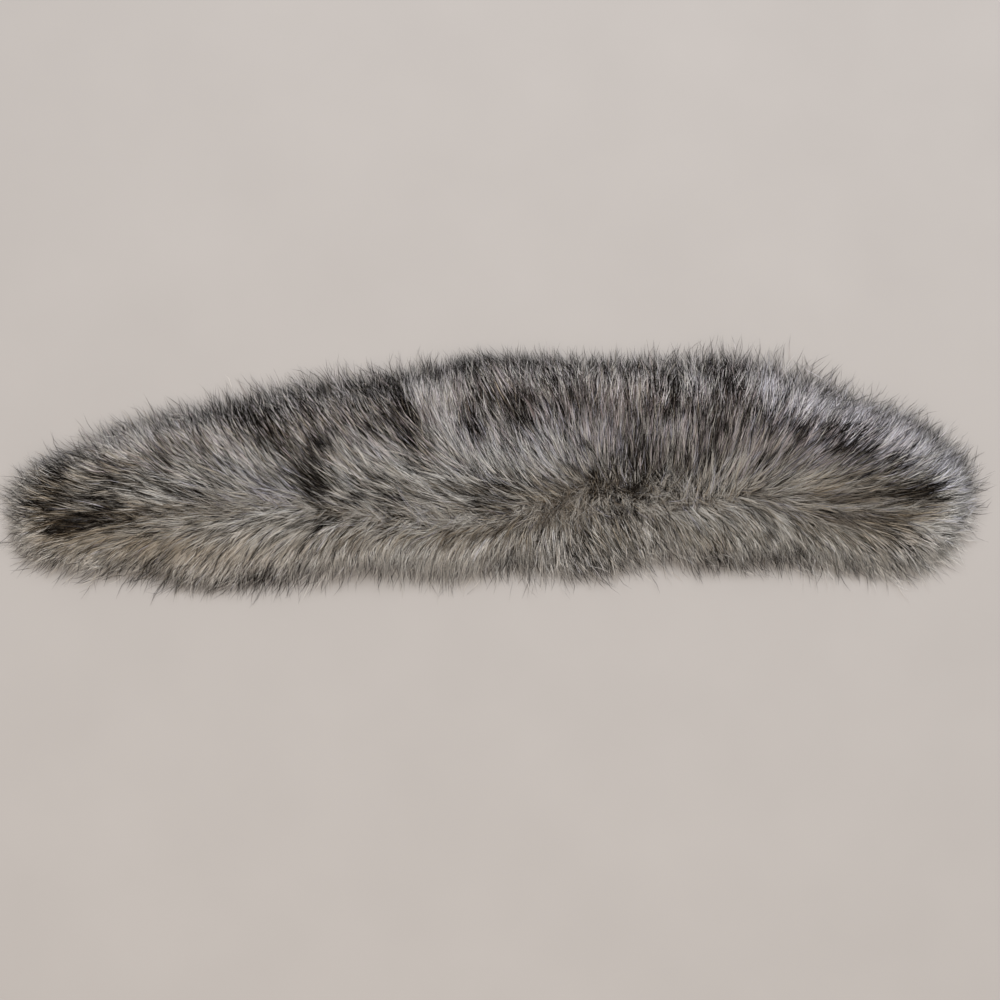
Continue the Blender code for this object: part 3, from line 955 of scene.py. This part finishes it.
def dark_locks(layer, draws, hair):
    """Which hairs are in dark locks, and which in locks with dark tips: a lock is one or the other where its
    even draw falls under the share of such locks there."""
    drawn = draws.even_for_lock()
    is_dark = drawn < np.minimum(DARK_IN_PATCH * hair.dark + DARK_ANYWHERE * hair.calm, DARK_MOST)
    tips = layer.tipped * hair.calm * np.clip((hair.out / MM - TIPS_FROM) / TIPS_OVER, TIPS_LEAST, 1)
    tips *= 1 - (TIPS_FEWER - WISPS_KEEP * layer.wispy) * np.clip(hair.low_side, 0, 1)
    fewer = TIPS_FEWER * (1 - layer.wispy)
    tips *= 1 - fewer * fade(hair.x, RIGHT_END_X, RIGHT_END_OVER)
    tips *= 1 - fewer * hump(hair.inside, TIPS_BAND, TIPS_BAND_WIDTH)
    tips += np.where(hair.dark > 0, TIPS_IN_DARK, TIPS_IN_PALE) * hair.dark
    tips += TIPS_CLUMP * hair.clump_shade * hair.calm
    return is_dark, 1 - drawn < tips


TONE = 0.61  # from 0, the darkest, to 1, the palest
TONE_LOW_SIDE, TONE_TIP, TONE_WISP = 0.05, 0.08, 0.12  # paler on the inner side, far out and in wisps; the wisps' paleness is partly their own grey and partly painted light against the rim's shade
TONE_CLUMP = 0.05  # darker by its clump's shade
PAINTED_PARTING_SHADE, PARTING_SHADE_REACH = 0.2, 28 * MM  # painted shade: darker near the parting, where the hair shades itself
PAINTED_RIM_LIGHT, BROW_AT, BROW_WIDTH = 0.26, -5, 8  # painted light: paler just outside the dense edge, where the falling rim lies in shade... ...and painted shade: darker inside it, where the higher pile is lit more, by this share of that
UNDER_RIM_PAINTED_SHADE, UNDER_BROW_AT, UNDER_BROW_WIDTH = 0.62, 15, 9  # ...and darker inside it, by this share of that
TONE_LOCK, TONE_HAIR, TONE_CALM = 0.065, 0.13, 1.06  # how unlike each other locks and hairs are...
TONE_OUTER_RIM, TONE_INNER_RIM = 0.7, 0.2  # ...and more so at the rim
TONE_IN_DARK, TONE_IN_PALE, TONE_DARK_LOCK = 0.1, 0.3, 0.16  # by its patch, and darker in a dark lock


def tones(layer, draws, hair, is_dark):
    """Each hair's tone: the sum of what its place, its patch, its clump, its lock and its own draw add; its
    place adds painted shade near the parting, and painted light and shade about the rim.
    """
    tone = TONE + TONE_LOW_SIDE * hair.low_side - PAINTED_PARTING_SHADE * hump(hair.out, 0, PARTING_SHADE_REACH)
    tone += TONE_TIP * hair.tip_share - TONE_CLUMP * hair.clump_shade * hair.calm
    # painted light and shade about the rim, evening out how it is lit
    rim_light_and_shade = hump(hair.inside, BROW_AT, BROW_WIDTH)
    rim_light_and_shade -= UNDER_RIM_PAINTED_SHADE * hump(hair.inside, UNDER_BROW_AT, UNDER_BROW_WIDTH)
    tone += PAINTED_RIM_LIGHT * rim_light_and_shade + TONE_WISP * layer.wispy
    tone += on_the_way(shades, hair.line, hair.lock_share)
    own = draws.for_lock(TONE_LOCK) + draws.for_hair(TONE_HAIR)
    rim = np.where(hair.y > 0, TONE_OUTER_RIM, TONE_INNER_RIM) * hair.at_rim
    tone += own * (TONE_CALM * hair.calm + rim)
    return tone - np.where(hair.dark > 0, TONE_IN_DARK, TONE_IN_PALE) * hair.dark - TONE_DARK_LOCK * is_dark


TAN_BASE, TAN_LOW_SIDE, TAN_CLUMP, TAN_RIM = 0.25, 0.35, 0.15, 0.25  # tanner on the inner side and the rim
TAN_LEFT, LEFT_X, LEFT_OVER = 0.12, -150, 100  # tanner to the left of here, cooler to the right
TAN_UPPER_RIGHT = 0.45  # cooler there
HUE_LEAST, HUE_MOST = 0.02, 0.9  # the share of tan, and of cool, hair
MAUVE_Y, MAUVE_OVER, MAUVE_SHARE, MAUVE_RIGHT = -5, 40, 0.45, 0.15  # the outer side has mauve hair as well


def hair_hues(draws, hair):
    """Each hair's hue: tan or cool where its draw falls in that hue's share there, then mauve over it."""
    x, y = hair.x, hair.y
    at_right = fade(x, RIGHT_X, RIGHT_OVER)
    tan = hair.tan + TAN_BASE + TAN_LOW_SIDE * hair.low_side - TAN_LEFT * np.tanh((x - LEFT_X) / LEFT_OVER)
    tan -= TAN_UPPER_RIGHT * at_right * (y > 0)
    tan += humps(TINT_HERE, hair.middle) + TAN_CLUMP * hair.clump_bend
    tan += TAN_RIM * hair.at_rim * (x < RIGHT_X)
    drawn = draws.even_for_hair()
    hue = np.where(drawn > 1 - np.clip(-tan, HUE_LEAST, HUE_MOST), COOL, NEUTRAL)
    hue = np.where(drawn < np.clip(tan, HUE_LEAST, HUE_MOST), TAN, hue)
    mauve = fade(y, MAUVE_Y, MAUVE_OVER) * (MAUVE_SHARE + MAUVE_RIGHT * at_right)
    return np.where(draws.even_for_hair() < mauve, MAUVE, hue)


DARK_TIP_IN_TIPPED, DARK_TIP_ELSEWHERE = 0.92, 0.25  # the share of a lock's hairs with a dark tip
MOSTLY_IN_DARK, MOSTLY_ELSEWHERE, MOSTLY_WISP = 0.85, 0.35, 0.35  # the share that is mostly dark
BAND_FOOT, BAND_HEIGHT = 0.04, 0.9  # the tones' part of a kind's band on the map


def dye(layer, draws, hair):
    """Each hair's row up the colour map, (3 hue + ending + its tone's place in the band) / 12, by the place
    two thirds of the way along the hair."""
    middle = layer.points * 2 // 3
    hair.middle = hair.flat[:, middle]
    hair.x, hair.y = hair.middle[:, 0] / MM, hair.middle[:, 1] / MM
    hair.dark, hair.tan = patches_at(hair.middle, hair.angle[:, middle])
    hair.low_side = np.clip(-(hair.y + LOW_SIDE_Y) / LOW_SIDE_OVER, LOW_SIDE_LEAST, 1)
    hair.inside = (1 - hair.tip_share) * hair.length / MM - hair.thin  # of the dense edge, in millimetres
    is_dark, is_tipped = dark_locks(layer, draws, hair)
    tone = tones(layer, draws, hair, is_dark)
    hue = hair_hues(draws, hair)
    tipped = np.where(is_dark, 1, np.where(is_tipped, DARK_TIP_IN_TIPPED, DARK_TIP_ELSEWHERE))
    mostly = np.where(is_dark, MOSTLY_IN_DARK, (MOSTLY_ELSEWHERE + MOSTLY_WISP * layer.wispy) * tipped)
    drawn = draws.even_for_hair()
    ending = (drawn < tipped).astype(int) + (drawn < mostly)
    return (hue * ENDINGS + ending + BAND_FOOT + BAND_HEIGHT * np.clip(tone, 0.0, 1.0)) / KINDS


def grow(layer):
    """A layer of hair in locks, as one piece. Each hair runs back from its tip along the combed way and
    sinks into the undercoat. The calls' order is that of the random draws."""
    draws = Draws(layer)
    hair = end_hairs(layer, draws)
    comb(layer, draws, hair)
    height = stand(layer, draws, hair)
    radius = thickness(layer, draws, hair)
    row = dye(layer, draws, hair)
    made = hair_mesh(layer.name, raised(hair.flat, height), radius, row, draws.even_for_hair(0, 2 * np.pi))
    made.data.materials.append(pile)
    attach(made, "root")
    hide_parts("fur_pile")
    return made


fur = [grow(layer) for layer in LAYERS]
